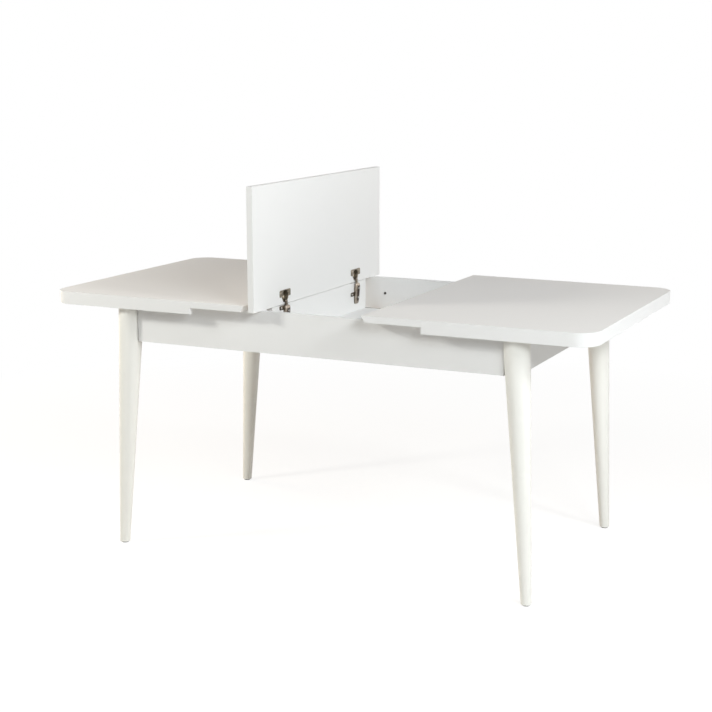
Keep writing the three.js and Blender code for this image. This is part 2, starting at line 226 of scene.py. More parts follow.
def soft_box(name, place, width, watts, colour):
    """A square lamp turned towards the middle of the table, just under its top."""
    lamp = bpy.data.lights.new(name, "AREA")
    lamp.shape = "SQUARE"
    lamp.size = width
    lamp.energy = watts
    lamp.color = colour
    made = bpy.data.objects.new(name, lamp)
    made.location = place
    made.rotation_euler = (lamp_aim - Vector(place)).to_track_quat("-Z", "Y").to_euler()
    bpy.context.scene.collection.objects.link(made)


def linked(name, mesh):
    """A mesh as an object of the scene, unmoved."""
    piece = bpy.data.objects.new(name, mesh)
    bpy.context.scene.collection.objects.link(piece)
    return piece


bpy.context.scene.world = white_room()
floor_mesh = bpy.data.meshes.new("floor")
floor_corners = [(x * floor_half, y * floor_half, 0) for x, y in ((-1, -1), (1, -1), (1, 1), (-1, 1))]
floor_mesh.from_pydata(floor_corners, [], [(0, 1, 2, 3)])
floor_mesh.materials.append(white_floor())
linked("floor", floor_mesh)
soft_box("key_box", (-2.234, -1.623, 1.872), 0.4, 42.5, (1.0, 1.0, 0.95))
soft_box("right_box", (3.346, -1.023, 2.639), 0.6, 62.0, (0.97, 0.99, 1.0))
soft_box("front_box", (2.777, -2.330, 2.390), 1.4, 79.0, (0.93, 0.97, 1.0))
soft_box("low_left_box", (-3.90, 0.69, 1.257), 1.4, 58.0, (1.0, 0.76, 0.54))
soft_box("back_box", (1.97, 3.41, 1.395), 1.4, 16.0, (1.0, 0.96, 0.91))


# ---------------------------------------------------------------------------------------------
# Aprons. Four upright particle boards, 18 mm thick, faced with white melamine and banded along
# their edges. The long ones are hollowed on top where the leaf turns. The legs carry them.
# ---------------------------------------------------------------------------------------------
white = (0.80, 0.80, 0.79)
arris = 0.0004
band = 0.0008
glue_line = 0.00015


def melamine(name, colour, banded=()):
    """Fine satin melamine: a slightly pearled face, and the hairline where each edge band is glued on.

    The hairline lies where the distance to the nearest banded edge is one band's thickness."""
    finish = Finish(name)
    cloud = finish.noise((0.32, 0.32, 0.32), 3.0)
    pearl = finish.noise((0.0007, 0.0007, 0.0007), 1.0)
    tone = finish.tint(cloud, [c * 0.985 for c in colour], [c * 1.01 for c in colour])
    nearest = None
    for axis, low, high in banded:
        place = finish.place(axis)
        inside = (place - low).least(high - place)
        nearest = inside if nearest is None else nearest.least(inside)
    if nearest:
        line = (1.0 - abs(nearest - band) / glue_line).held()
        tone = finish.tint(line * 0.35, tone, [c * 0.6 for c in colour])
    return finish.surface(tone, 0.36 + cloud * 0.1, finish.bump(pearl, 0.12, 0.00002))


def eased(piece, round_by, sharp=35):
    """Rounds the arrises: every edge where two faces meet more sharply than an angle in degrees."""
    rounding = piece.modifiers.new("eased_arrises", "BEVEL")
    rounding.width = round_by
    rounding.segments = 2
    rounding.limit_method = "ANGLE"
    rounding.angle_limit = math.radians(sharp)
    rounding.harden_normals = True


def from_cad(node, finish, round_by=arris):
    """Finishes a CAD node. Its loose triangles are welded, its flat faces made whole, its arrises eased."""
    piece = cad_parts[node]
    for slot in piece.material_slots:
        slot.material = finish
    weld = piece.modifiers.new("welded_seams", "WELD")
    weld.merge_threshold = 0.00001
    whole = piece.modifiers.new("whole_faces", "DECIMATE")
    whole.decimate_type = "DISSOLVE"
    whole.angle_limit = math.radians(0.5)
    eased(piece, round_by)


for place in ("front", "back", "left", "right"):
    low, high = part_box(f"{place}_apron")
    from_cad(f"{place}_apron", melamine(f"{place}_apron_face", white, [("Z", low.z, high.z)]))


# ---------------------------------------------------------------------------------------------
# Legs. Round tapered hardwood in ivory lacquer, splayed outwards, with two flats cut down from
# the top where the aprons' ends meet them. Each stands on a black nylon glide pressed into it.
# ---------------------------------------------------------------------------------------------
leg_top_radius = 0.0372
leg_foot_radius = 0.0147
leg_ease = 0.0012
glide_height = 0.003
stem_length = 0.012
clearance = 0.0003
flat_lean = 0.028
flats_run_out = 0.565
lacquered_arris = 0.0005
leg_top_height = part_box("front_left_leg")[1].z
frame_middle = (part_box("front_apron")[0].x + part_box("front_apron")[1].x) / 2
leg_top = np.array([0.586, 0.358])
leg_foot = np.array([0.631, 0.365])
end_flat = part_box("right_apron")[1].y + clearance
long_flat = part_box("front_apron")[1].x + clearance - frame_middle


def skin(name, rings, turned_over=False):
    """Closed shells from rings of points: neighbouring rings are joined by quads, end rings are filled.

    The rings lie on a grid of shell, ring, and place round the ring. A shell's rings go up its axis
    and run anticlockwise seen from above; turned_over is for rings that a mirror has run clockwise."""
    rings = np.asarray(rings, float)
    rings = rings[None] if rings.ndim == 3 else rings
    index = np.arange(rings[..., 0].size).reshape(rings.shape[:3])
    beside = np.roll(index, -1, axis=2)
    quads = np.stack([index[:, :-1], beside[:, :-1], beside[:, 1:], index[:, 1:]], -1).reshape(-1, 4)
    ends = np.concatenate([index[:, 0, ::-1], index[:, -1]])
    if turned_over:
        quads, ends = quads[:, ::-1], ends[:, ::-1]
    mesh = bpy.data.meshes.new(name)
    mesh.from_pydata(rings.reshape(-1, 3).tolist(), [], quads.tolist() + ends.tolist())
    return linked(name, mesh)


def finished(piece, finish, body, stands_for=(), round_by=arris, sharp=35):
    """Gives a new piece its finish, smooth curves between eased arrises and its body."""
    piece.data.materials.append(finish)
    piece.data.shade_smooth()
    piece.data.set_sharp_from_angle(angle=math.radians(sharp))
    if round_by:
        eased(piece, round_by, sharp)
    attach(piece, body)
    if stands_for:
        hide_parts(*stands_for)


def turned(profile, steps=48):
    """A turned piece about an upright axis: each radius and height of the profile, carried once round."""
    radius, height = np.asarray(profile, float).T[:, :, None]
    angle = np.linspace(0.0, 2 * np.pi, steps, endpoint=False)
    return np.stack([radius * np.cos(angle), radius * np.sin(angle), height + 0.0 * angle], -1)


def leg_middle(height):
    """The leg's axis: its distances from the table's middle fall on a straight line from top to foot."""
    down = (leg_top_height - np.asarray(height)) / leg_top_height
    return leg_top + (leg_foot - leg_top) * down[..., None]


def leg_rings(side_x, side_y):
    """Rings up the leg, closer together above the height where the flats run out. Each point's
    distance from the axis is the cone's radius or, towards a flat, the flat's own distance over the
    cosine of the angle to it, whichever is less. The columns bunch so that one always runs along
    each edge of a flat, at the arc cosine of distance over radius."""
    low = glide_height + clearance
    lower = np.linspace(low + leg_ease, flats_run_out - 0.005, 5)
    upper = np.linspace(flats_run_out + 0.005, leg_top_height - leg_ease, 26)
    height = np.concatenate([[low, low + leg_ease * 0.3], lower, upper, [leg_top_height]])
    radius = leg_top_radius + (leg_foot_radius - leg_top_radius) * (leg_top_height - height) / leg_top_height
    radius[[0, 1, -1]] -= leg_ease * np.array([1.0, 0.3, 0.5])
    middle = leg_middle(height)
    to_long = middle[:, 0] - long_flat - flat_lean * (leg_top_height - height)
    to_end = middle[:, 1] - end_flat
    half_long, half_end = (np.arccos(np.minimum(to / radius, 0.98)) for to in (to_long, to_end))
    quarter = np.pi / 2
    knots = [-half_long, half_long, quarter - half_end, quarter + half_end, 2 * np.pi - half_long]
    columns = (14, 6, 12, 64)  # over the long flat, between the flats, over the end flat, round the back
    spans = [np.linspace(a, b, n, endpoint=False, axis=1) for a, b, n in zip(knots, knots[1:], columns)]
    angle = np.concatenate(spans, axis=1)
    to_flats = [np.where(share > 0.05, to[:, None] / np.maximum(share, 0.05), 1.0)
                for share, to in ((np.cos(angle), to_long), (np.sin(angle), to_end))]
    reach = np.minimum(radius[:, None], np.minimum(*to_flats))
    across = frame_middle + side_x * (middle[:, :1] - reach * np.cos(angle))
    along = side_y * (middle[:, 1:] - reach * np.sin(angle))
    return np.stack([across, along, height[:, None] + 0.0 * angle], -1)


def ivory_lacquer():
    """Sprayed ivory lacquer over close-grained wood: the grain, drawn out down the leg, just shows."""
    finish = Finish("ivory_lacquer")
    cloud = finish.noise((0.25, 0.25, 0.6), 3.0)
    grain = finish.noise((0.0016, 0.0016, 0.16), 4.0)
    tone = finish.tint(cloud, (0.825, 0.818, 0.770), (0.845, 0.840, 0.795))
    pores = ((grain - 0.6) * 8.0).held()
    tone = finish.tint(pores * 0.10, tone, (0.62, 0.59, 0.50))
    bump = finish.bump(grain, 0.18, 0.0001)
    return finish.surface(tone, 0.36 + grain * 0.12, bump, coat_weight=0.15, coat_roughness=0.12)


def black_nylon():
    """Moulded nylon: near black, with a fine matt grain."""
    finish = Finish("black_nylon")
    grain = finish.noise((0.0006, 0.0006, 0.0006), 2.0)
    tone = finish.tint(grain, (0.018, 0.018, 0.019), (0.032, 0.032, 0.033))
    return finish.surface(tone, 0.5 + grain * 0.2, finish.bump(grain, 0.3, 0.00005))


lacquer = ivory_lacquer()
nylon = black_nylon()
glide_profile = [
    (0.0070, 0.0), (0.0098, 0.0003), (0.0108, 0.0011), (0.0110, 0.0022), (0.0107, glide_height),
    (0.0030, glide_height), (0.0030, glide_height + stem_length), (0.0010, glide_height + stem_length),
]
corners = [(-1, -1, "front_left"), (-1, 1, "back_left"), (1, -1, "front_right"), (1, 1, "back_right")]
for side_x, side_y, corner in corners:
    leg = skin(f"{corner}_leg_turned", leg_rings(side_x, side_y), side_x * side_y < 0)
    finished(leg, lacquer, "frame", [f"{corner}_leg"], lacquered_arris, 16)
    foot = leg_middle(glide_height) * (side_x, side_y) + (frame_middle, 0.0)
    glide = skin(f"{corner}_glide", turned(glide_profile) + np.append(foot, 0.0))
    finished(glide, nylon, "frame", [f"{corner}_foot_glide"], 0.0)


# ---------------------------------------------------------------------------------------------
# Corner braces. A diagonal beech block behind each leg, screwed to both aprons, with a threaded
# hexagon-head bolt and washer through it that draws the leg's flats against the aprons' ends.
# ---------------------------------------------------------------------------------------------
bolt_height = 0.652
bolt_radius = 0.0040
thread_pitch = 0.00125
thread_depth = 0.0006
washer_radius = 0.011
hexagon_radius = 0.0075
head_height = 0.005
washer_height = 0.002
bolt_end = 0.0085  # short of the leg's axis
screw_radius = 0.0042
screw_dome = 0.0008
sliver = 0.0001  # keeps faces that touch apart
brace_screws = (0.037, 0.018)  # sideways and up from the bolt


def beech(name, size, turn=0.0):
    """Steamed beech: pinkish tan, with long faint growth lines and short dark flecks along the grain."""
    finish = Finish(name)
    growth = finish.noise(size, 4.0, turn)
    flecks = finish.noise([length * 0.06 for length in size], 1.0, turn)
    tone = finish.tint(growth, (0.50, 0.33, 0.19), (0.68, 0.49, 0.31))
    dark = ((flecks - 0.62) * 9.0).held()
    tone = finish.tint(dark * 0.55, tone, (0.30, 0.17, 0.09))
    return finish.surface(tone, 0.5 + growth * 0.15, finish.bump(growth, 0.25, 0.0002))


def bright_steel(name="zinc_steel", pale=(0.62, 0.61, 0.58), dull=(0.44, 0.43, 0.40)):
    """Zinc-plated steel: a bright grey metal with cloudy duller patches and fine scratches."""
    finish = Finish(name)
    cloud = finish.noise((0.004, 0.004, 0.004), 3.0)
    scratch = finish.noise((0.0004, 0.003, 0.0004), 2.0)
    tone = finish.tint(cloud, pale, dull)
    roughness = 0.26 + cloud * 0.2 + scratch * 0.08
    return finish.surface(tone, roughness, finish.bump(scratch, 0.15, 0.00003), metallic=1.0)


def stood(rings, foot, way):
    """Rings drawn about an upright axis, stood on a foot point with their axis turned to point a way."""
    way = np.asarray(way, float) / np.linalg.norm(way)
    side = np.cross(way, (0.0, 0.0, 1.0) if abs(way[2]) < 0.9 else (0.0, 1.0, 0.0))
    side /= np.linalg.norm(side)
    return np.asarray(foot, float) + rings @ np.stack([side, np.cross(way, side), way])


def threaded_bolt(length):
    """A bolt and its washer, from the top of the head. The head's radius is the hexagon's polar form;
    the shank's radius dips by the thread's depth with the distance along less the turns gone round."""
    angle = np.linspace(0.0, 2 * np.pi, 36, endpoint=False)
    hexagon = hexagon_radius * math.cos(math.pi / 6) / np.cos(np.mod(angle, np.pi / 3) - np.pi / 6)
    chamfer = np.minimum(hexagon, hexagon_radius * 0.90)
    seat = head_height + washer_height
    head = [
        (chamfer * 0.80, 0.0), (chamfer, 0.0004), (hexagon, 0.0010), (hexagon, head_height),
        (washer_radius * 0.97, head_height), (washer_radius, head_height + 0.0003),
        (washer_radius, seat), (bolt_radius, seat),
    ]
    along = np.arange(seat + 0.0004, length, thread_pitch / 4)
    turns = np.mod(along[:, None] / thread_pitch - angle / (2 * np.pi), 1.0)
    shank = bolt_radius - thread_depth * abs(2.0 * turns - 1.0)
    radius = np.vstack([[row + 0.0 * angle for row, _ in head], shank, shank[-1:] * 0.7])
    height = np.concatenate([[at for _, at in head], along, [length + 0.0006]])
    return np.stack([radius * np.cos(angle), radius * np.sin(angle), height[:, None] + 0.0 * radius], -1)


def screw_heads(name, places, way, radius=screw_radius, dome=screw_dome):
    """Low domed heads with a cross recess, one standing at each place and facing a way.

    Ring after ring: cone, rim, domed top, mouth and floor of the recess. The recess is two crossed
    bars; in polar form its edge is the farther of the two bars' edges, each the nearer of its sides."""
    angle = np.linspace(0.0, 2 * np.pi, 32, endpoint=False)
    cosine, sine = (np.maximum(abs(part), 1e-6) for part in (np.cos(angle), np.sin(angle)))
    arm, bar = 0.58 * radius, 0.13 * radius
    cross = np.maximum(np.minimum(arm / cosine, bar / sine), np.minimum(bar / cosine, arm / sine))
    disc = np.full(len(angle), radius)
    rows = [
        (disc * 0.45, -0.55 * radius), (disc, -sliver), (disc, dome * 0.3), (disc * 0.93, dome * 0.7),
        (disc * 0.70, dome), (cross, dome), (cross * 0.75, dome * 0.15),
    ]
    reach = np.stack([row for row, _ in rows])
    height = np.array([at for _, at in rows])[:, None]
    head = np.stack([reach * np.cos(angle), reach * np.sin(angle), height + 0.0 * reach], -1)
    return skin(name, np.stack([stood(head, place, way) for place in places]))


steel = bright_steel()
for side_x, side_y, corner in corners:
    low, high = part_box(f"{corner}_corner_brace")
    end = np.array([low.x if side_x > 0 else high.x, high.y if side_y > 0 else low.y])
    inner_sum = abs(end[0] - frame_middle) + abs(end[1])
    turn = -side_x * side_y * math.pi / 4
    from_cad(f"{corner}_corner_brace", beech(f"{corner}_brace_beech", (0.22, 0.008, 0.006), turn))
    into = np.array([side_x, side_y, 0.0]) / math.sqrt(2)
    sideways = np.array([-side_x, side_y, 0.0]) / math.sqrt(2)
    axis = leg_middle(bolt_height)
    seat = np.append(axis - (axis.sum() - inner_sum) / 2, bolt_height) * (side_x, side_y, 1.0)
    seat += (frame_middle, 0.0, 0.0)
    top = seat - into * (head_height + washer_height)
    length = (axis.sum() - inner_sum) / math.sqrt(2) - bolt_end + head_height + washer_height
    bolt = skin(f"{corner}_bolt", stood(threaded_bolt(length), top, into))
    finished(bolt, steel, "frame", [f"{corner}_leg_bolt"], 0.0, 25)
    spread, rise = brace_screws
    places = [seat + sideways * across + (0, 0, up) for across in (-spread, spread) for up in (-rise, rise)]
    screws = screw_heads(f"{corner}_brace_screws", places, -into)
    finished(screws, steel, "frame", (), 0.0, 30)


# ---------------------------------------------------------------------------------------------
# Storage box under the leaf. Two white cross boards, a thin hardboard floor between them, and two
# beech bearers screwed up against it. A pan-head screw shows in the back apron's inner face; its
# near black is painted shade, the dark spot of a shaded hole.
# ---------------------------------------------------------------------------------------------
# Painted shadow: how wide the dark band along the floor's front and back edges is, and how softly it ends.
painted_gap_shadow_width = 0.007
edge_blur = 0.0004
outer_bearer_screw = 0.27  # either side of the middle


def hardboard():
    """Thin board with a smooth white face: brighter than the melamine, faintly mottled by its fibres.

    Along its front and back edges a dark brown band is painted shadow, for the shade in the gaps between the
    floor and the long aprons."""
    finish = Finish("white_hardboard")
    cloud = finish.noise((0.06, 0.06, 0.06), 4.0)
    fibre = finish.noise((0.0011, 0.0011, 0.0011), 2.0)
    # Partly the board's own whiter paint and partly painted light: its white is set above the melamine's to
    # lift the shaded inside of the box.
    tone = finish.tint(cloud, (0.845, 0.845, 0.835), (0.875, 0.875, 0.868))
    low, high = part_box("box_floor")
    along = finish.place("Y")
    # Painted shadow: a dark band along the floor's front and back edges stands for the shade in the gaps
    # beside the aprons.
    gap_shadow = ((painted_gap_shadow_width - (along - low.y).least(high.y - along)) / edge_blur).held()
    tone = finish.tint(gap_shadow, tone, (0.10, 0.08, 0.06))
    return finish.surface(tone, 0.5 + cloud * 0.1, finish.bump(fibre, 0.2, 0.00005))


for place in ("left", "right"):
    low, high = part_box(f"{place}_cross_board")
    face = melamine(f"{place}_cross_board_face", white, [("Z", low.z, high.z), ("Y", low.y, high.y)])
    from_cad(f"{place}_cross_board", face)
from_cad("box_floor", hardboard())
along_y = beech("beech_along_y", (0.010, 0.30, 0.007))
across_bearer = np.linspace(-outer_bearer_screw, outer_bearer_screw, 5)
for place in ("left", "right"):
    low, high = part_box(f"{place}_floor_bearer")
    from_cad(f"{place}_floor_bearer", along_y)
    middle = (low.x + high.x) / 2
    places = [(middle, across, low.z - sliver) for across in across_bearer]
    screws = screw_heads(f"{place}_bearer_screws", places, (0, 0, -1))
    finished(screws, steel, "frame", (), 0.0, 30)

low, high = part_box("back_apron_screw")
# Painted shade: this steel is near black so that the screw head shows as the dark spot of a shaded hole.
browned = bright_steel("painted_hole_shade_steel", (0.10, 0.09, 0.08), (0.03, 0.027, 0.025))
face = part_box("back_apron")[0].y
place = ((low.x + high.x) / 2, face, (low.z + high.z) / 2)
screw = screw_heads("back_apron_pan_head", [place], (0, -1, 0), (high.z - low.z) / 2, face - low.y)
finished(screw, browned, "frame", ["back_apron_screw"], 0.0, 30)


# ---------------------------------------------------------------------------------------------
# Sliding gear. Beech rails screwed to the long aprons, and grooved beech runners on them that
# carry the half tops. Steel pins in each half top rise and fall in the runners' bores.
# ---------------------------------------------------------------------------------------------
runner_arris = 0.001
along_x = beech("beech_along_x", (0.30, 0.008, 0.006))
for _, _, corner in corners:
    edge, half = corner.split("_")
    from_cad(f"{corner}_guide_rail", along_x)
    from_cad(f"{half}_{edge}_runner", along_x, runner_arris)
    for number in (1, 2):
        from_cad(f"{half}_{edge}_lift_pin_{number}", steel)


# ---------------------------------------------------------------------------------------------
# Half tops. Melamine-faced particle board 18 mm thick, its inner edge undercut, thickened along
# the outer edges by 18 mm strips, with one plastic edge band over both glued round the outside.
# ---------------------------------------------------------------------------------------------
corner_radius = 0.060
lap = 0.172
undercut = 0.011
strip_width = 0.014
strip_chamfer = 0.018
band_arris = 0.0003
glue = 0.00002


def edge_band_finish(name, colour):
    """Extruded edge band: the board's white, a little glossier, with faint drawn lines along it."""
    finish = Finish(name)
    drawn = finish.noise((0.025, 0.025, 0.0004), 2.0)
    cloud = finish.noise((0.2, 0.2, 0.2), 2.0)
    tone = finish.tint(cloud, [c * 0.985 for c in colour], colour)
    return finish.surface(tone, 0.3 + drawn * 0.08, finish.bump(drawn, 0.1, 0.00002))


def arc(centre, radius, start, end, steps=12):
    """Points on a circle, from one angle in degrees to another."""
    angle = np.radians(np.linspace(start, end, steps + 1))
    return np.stack([centre[0] + radius * np.cos(angle), centre[1] + radius * np.sin(angle)], 1)


def at_height(outline, height):
    """A flat outline's points, all at one height."""
    return np.column_stack([outline, np.full(len(outline), height)])


def loft(name, lower, upper, low, high):
    """A slab between a lower outline and an upper one."""
    return skin(name, [at_height(lower, low), at_height(upper, high)])


def ribbon(name, outer, inner, low, high):
    """An open band: its four-cornered section carried along the outer and inner paths' low and high edges."""
    edges = [at_height(path, level) for path, level in zip((*inner, *outer[::-1]), (low, high, high, low))]
    return skin(name, np.stack(edges, 1))


class HalfTop:
    """One half's measures and outlines. These count from its inner edge outwards until they are laid."""

    def __init__(self, side):
        self.side = side
        self.name = "left" if side < 0 else "right"
        low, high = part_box(f"{self.name}_top_panel")
        self.inner = high.x if side < 0 else low.x
        self.length = high.x - low.x
        self.half = high.y
        self.low, self.high = low.z, high.z
        self.strip_low, self.strip_high = (corner.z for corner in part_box(f"{self.name}_top_end_strip"))
        self.out = self.length - corner_radius
        self.across = self.half - corner_radius

    def laid(self, points):
        """Points of an outline moved to where the half lies on the table."""
        points = np.asarray(points, float)
        return np.stack([self.inner + self.side * points[:, 0], self.side * points[:, 1]], 1)

    def edge(self, inset, start):
        """The outer edge, inset by a distance: front side, round corner, end, round corner, back side."""
        bend = corner_radius - inset
        front = arc((self.out, -self.across), bend, -90, 0)
        back = arc((self.out, self.across), bend, 0, 90)
        side = self.half - inset
        return self.laid(np.vstack([[(start, -side)], front, back, [(start, side)]]))

    def panel(self):
        """The board itself: at its inner edge the lower outline starts farther out, as an undercut."""
        lower = self.edge(band + glue, undercut)
        upper = self.edge(band + glue, 0.0)
        return loft(f"{self.name}_panel", lower, upper, self.low, self.high)

    def thick_band(self):
        """The band round the outside, as high as board and strip together, from step to step."""
        outer, inner = self.edge(0.0, lap), self.edge(band, lap)
        return ribbon(f"{self.name}_edge_band", (outer, outer), (inner, inner), self.strip_low, self.high)

    def thin_band(self, way, place):
        """The band on one side's thin part, from the undercut inner edge to the step."""
        def path(inset, start):
            ends = [(start, way * (self.half - inset)), (lap, way * (self.half - inset))]
            return self.laid(ends if way < 0 else ends[::-1])
        outer = path(0.0, undercut), path(0.0, 0.0)
        inner = path(band, undercut), path(band, 0.0)
        return ribbon(f"{self.name}_{place}_thin_band", outer, inner, self.low, self.high)

    def strips(self):
        """Outlines of the front, end and back strips, mitred at the corners and chamfered inside them.

        The first strip lies on the outline's own front side; a left half is turned half round, so
        there it is the back one."""
        edge = self.half - band - glue
        within = self.half - strip_width
        far = self.length - strip_width
        bend = corner_radius - band - glue
        mitre = (far - strip_chamfer / 2, within - strip_chamfer / 2)
        outside = arc((self.out, -self.across), bend, -90, -45, 6)
        inside = [(mitre[0], -mitre[1]), (far - strip_chamfer, -within), (lap, -within)]
        first = np.vstack([[(lap, -edge)], outside, inside])
        outside = arc((self.out, -self.across), bend, -45, 0, 6), arc((self.out, self.across), bend, 0, 45, 6)
        inside = [mitre, (far, within - strip_chamfer), (far, strip_chamfer - within), (mitre[0], -mitre[1])]
        end = np.vstack([*outside, inside])
        second = first[::-1] * (1, -1)
        front, back = (first, second) if self.side > 0 else (second, first)
        return {"front": front, "end": end, "back": back}


# Painted shade: the half tops' faces are the same white melamine as the leaf and aprons, set darker and
# warmer here for the glancing, warm light that falls on them.
top_painted_shade = melamine("half_top_painted_shade", (0.77, 0.746, 0.718))
strip_face = melamine("half_top_strip_face", white)
top_band = edge_band_finish("half_top_band", white)
for side in (-1, 1):
    half = HalfTop(side)
    body = f"{half.name}_top"
    finished(half.panel(), top_painted_shade, body, [f"{half.name}_top_panel"])
    finished(half.thick_band(), top_band, body, (), band_arris)
    for way in (-1, 1):
        place = "front" if way * side < 0 else "back"
        finished(half.thin_band(way, place), top_band, body, (), band_arris)
    for place, outline in half.strips().items():
        outline = half.laid(outline)
        strip = loft(f"{half.name}_{place}_strip", outline, outline, half.strip_low, half.strip_high)
        finished(strip, strip_face, body, [f"{half.name}_top_{place}_strip"])


# ---------------------------------------------------------------------------------------------
# Leaf. The same 18 mm melamine board, banded on all four edges and bored for two hinge cups. It
# stands on its long edge over the left cross board, and turns down on its hinges to fill the gap.
# ---------------------------------------------------------------------------------------------
low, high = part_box("leaf")
from_cad("leaf", melamine("leaf_face", white, [("Y", low.y, high.y), ("Z", low.z, high.z)]))


# ---------------------------------------------------------------------------------------------
# Hinge cups. Two flanged cups of pressed steel, nickel plated and browned, let into the leaf and
# screwed to it. Two ears inside each cup hold the steel pin on which the leaf turns.
# ---------------------------------------------------------------------------------------------
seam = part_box("leaf")[0].z
leaf_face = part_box("leaf")[1].x
pole = 0.0286  # above the seam; the cup's and the flange's outlines are worked out from it
cup_below = 0.0060
flange_above = 0.0024
flange_half = (0.032, 0.010)
rim_radius = 0.0182
pressed = 0.0012
cup_screw_spread = 0.024
pivot = np.array([-0.0110, 0.0110])
ear_reach = 0.0080
ear_width = 0.0017
pressed_arris = 0.0003
pin_arris = 0.0002
small_turn = np.linspace(0.0, 2 * np.pi, 40, endpoint=False)


def nickel(name, pale, brown):
    """Browned nickel plate: a warm grey metal, clouded by oxide, with fine specks and soft gloss."""
    finish = Finish(name)
    cloud = finish.noise((0.006, 0.006, 0.006), 4.0)
    speck = finish.noise((0.0006, 0.0006, 0.0006), 2.0)
    tone = finish.tint(((cloud - 0.35) * 3.0).held(), pale, brown)
    roughness = 0.28 + cloud * 0.2 + speck * 0.06
    return finish.surface(tone, roughness, finish.bump(speck, 0.2, 0.00003), metallic=1.0)


def on_hinge(points, across):
    """Points given along the hinge, up from the seam and proud of the leaf's face, put on the table."""
    return np.asarray(points, float)[..., [2, 0, 1]] + (leaf_face, across, seam)


def oblong(angle, half_width, above, below, firmness=10, right=None):
    """Polar form of a rectangle seen from a pole inside it: the distances to its upright and level
    sides along the ray, joined by a power mean, which keeps near the lesser and rounds the corners."""
    side = np.where(np.cos(angle) > 0, right or half_width, half_width) / np.maximum(abs(np.cos(angle)), 1e-6)
    level = np.where(np.sin(angle) > 0, above, below) / np.maximum(abs(np.sin(angle)), 1e-6)
    return (side ** -firmness + level ** -firmness) ** (-1 / firmness)


def stacked(angle, middle, rows):
    """Rings about a middle in the face's plane, from rows of a distance to the edge and a height above it."""
    reach = np.stack([distance + 0.0 * angle for distance, _ in rows])
    proud = np.array([height for _, height in rows])[:, None] + 0.0 * reach
    return np.stack([middle[0] + reach * np.cos(angle), middle[1] + reach * np.sin(angle), proud], -1)


def cup_rings():
    """Cup and flange as one pressing. Seen from a pole above the cup's centre, a circle's edge is at
    the root of its radius squared less the pole's offset squared times the cosine squared, less the
    offset times the sine. The flange's edge is the farther of the rim's circle and an oblong."""
    angle = np.linspace(0.0, 2 * np.pi, 160, endpoint=False)

    def circle(radius):
        return np.sqrt(radius ** 2 - (cup_below * np.cos(angle)) ** 2) - cup_below * np.sin(angle)

    width, height = flange_half
    flange = oblong(angle, width, height + flange_above, height - flange_above)
    outline = np.maximum(circle(rim_radius), flange)
    back, front = clearance, clearance + pressed
    return stacked(angle, (0.0, pole), [
        (circle(0.0160), -0.0146), (circle(0.0170), -0.0140), (circle(0.0172), -0.0130),
        (circle(0.0172), back), (outline, back), (outline, front - 0.0003), (outline - 0.0003, front),
        (circle(0.0171), front), (circle(0.0166), front - 0.0002), (circle(0.0164), front - 0.0006),
        (circle(0.0164), -0.0128), (circle(0.0158), -0.0136), (circle(0.0148), -0.0138),
    ])


def ear_rings():
    """Two ears square to the pin: oblong slices drawn in the face's plane, then turned to stand on it."""
    edge = oblong(small_turn, 0.0030, 0.0034, 0.0034, 5)
    ears = []
    for start in (-ear_reach, ear_reach - ear_width):
        drawn = stacked(small_turn, (0.0, 0.0), [(edge, start), (edge, start + ear_width)])
        ears.append(np.stack([drawn[..., 2], pivot[1] + drawn[..., 0], pivot[0] + drawn[..., 1]], -1))
    return ears


hinges = {}
for name in ("front_hinge", "back_hinge"):
    low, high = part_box(f"{name}_pin")
    hinges[name] = (low.y + high.y) / 2
cup_finish = nickel("cup_nickel", (0.36, 0.32, 0.26), (0.19, 0.165, 0.125))
plate_finish = nickel("plate_nickel", (0.34, 0.30, 0.245), (0.20, 0.17, 0.135))
for name, across in hinges.items():
    cup = skin(f"{name}_pressed_cup", on_hinge(cup_rings(), across))
    finished(cup, cup_finish, "leaf", [f"{name}_cup"], 0.0, 30)
    places = [(way * cup_screw_spread, pole + flange_above, pressed + 0.0004) for way in (-1, 1)]
    screws = screw_heads(f"{name}_cup_screws", on_hinge(places, across), (1, 0, 0))
    finished(screws, plate_finish, "leaf", (), 0.0, 30)
    ears = skin(f"{name}_ears", on_hinge(ear_rings(), across))
    finished(ears, cup_finish, "leaf", (), pressed_arris)
    from_cad(f"{name}_pin", steel, pin_arris)


# ---------------------------------------------------------------------------------------------
# Hinge arms. A cranked neck of bent steel strip reaches from the pin, where it is curled round a
# knuckle, into a tapering pressed arm. A near-black cap and two adjusting screws lie on the arm. The
# cap's near black is a painted dark reflection on the arm's outer face; the arm's paler nickel is painted
# light.
# ---------------------------------------------------------------------------------------------
neck_half = 0.0058
neck_thickness = 0.0022
neck_arris = 0.0005
knuckle_radius = 0.0022
knuckle_ease = 0.0004
adjuster_radius = 0.0033
# Stations up the arm and its cap: height above the seam, back, front and half-width.
arm_stations = [
    (-0.0680, 0.0032, 0.0052, 0.0070), (-0.0676, 0.0027, 0.0062, 0.0088), (-0.0660, 0.0025, 0.0076, 0.0100),
    (-0.0600, 0.0025, 0.0088, 0.0108), (-0.0400, 0.0025, 0.0104, 0.0118), (-0.0195, 0.0025, 0.0120, 0.0126),
    (-0.0100, 0.0025, 0.0124, 0.0124), (-0.0045, 0.0025, 0.0112, 0.0108), (-0.0028, 0.0029, 0.0090, 0.0086),
]
cap_stations = [
    (-0.0588, 0.0070, 0.0092, 0.0040), (-0.0580, 0.0070, 0.0097, 0.0060), (-0.0400, 0.0080, 0.0111, 0.0072),
    (-0.0195, 0.0090, 0.0127, 0.0080), (-0.0120, 0.0090, 0.0129, 0.0078), (-0.0108, 0.0090, 0.0122, 0.0060),
]
adjuster_places = [(0.0, -0.0190, 0.0127), (0.0, -0.0480, 0.0105)]


